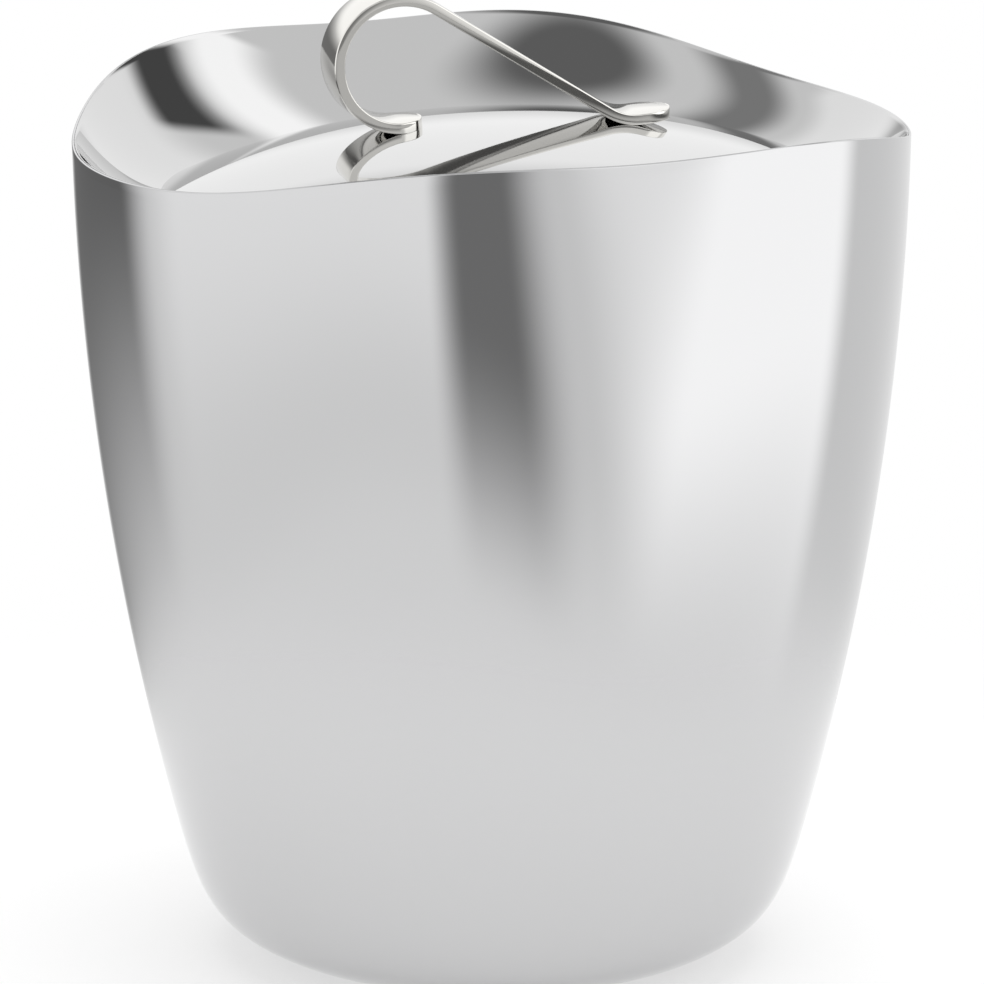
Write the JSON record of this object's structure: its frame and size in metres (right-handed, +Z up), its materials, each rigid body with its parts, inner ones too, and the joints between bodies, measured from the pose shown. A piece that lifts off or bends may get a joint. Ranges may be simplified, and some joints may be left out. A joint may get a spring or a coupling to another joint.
{
  "type": "ice bucket",
  "caption": "Double-walled polished steel ice bucket with a wavy rim, a domed lift-off lid and a looped ribbon handle.",
  "frame": {"origin": "on the table under the middle of the base", "axes": "+Z up out of the bucket; +X through the two low points of the rim and along the lid's long axis"},
  "size_m": [0.2116, 0.1966, 0.249],
  "materials": {
    "polished_wall": "mirror polished stainless steel",
    "polished_liner": "mirror polished stainless steel",
    "polished_lid": "mirror polished stainless steel",
    "polished_strip": "mirror polished stainless steel",
    "satin_base": "satin stainless steel",
    "satin_pan": "satin stainless steel",
    "fasteners": "plain stainless steel",
    "foot_rubber": "matte silicone",
    "plug_plastic": "matte"
  },
  "bodies": {
    "bucket": {"outer_shell": "polished_wall", "inner_liner": "polished_liner", "base_plate": "satin_base", "foot_ring": "foot_rubber", "vent_plug": "plug_plastic"},
    "lid": {"lid_dome": "polished_lid", "lid_pan": "satin_pan", "handle_strip": "polished_strip", "handle_studs": "fasteners", "handle_washers": "fasteners", "handle_nuts": "fasteners"}
  },
  "joints": [
    {"name": "lid_lift", "type": "slide", "parent": "bucket", "child": "lid", "axis": [0, 0, 1], "range_m": [0, 0.08]}
  ]
}
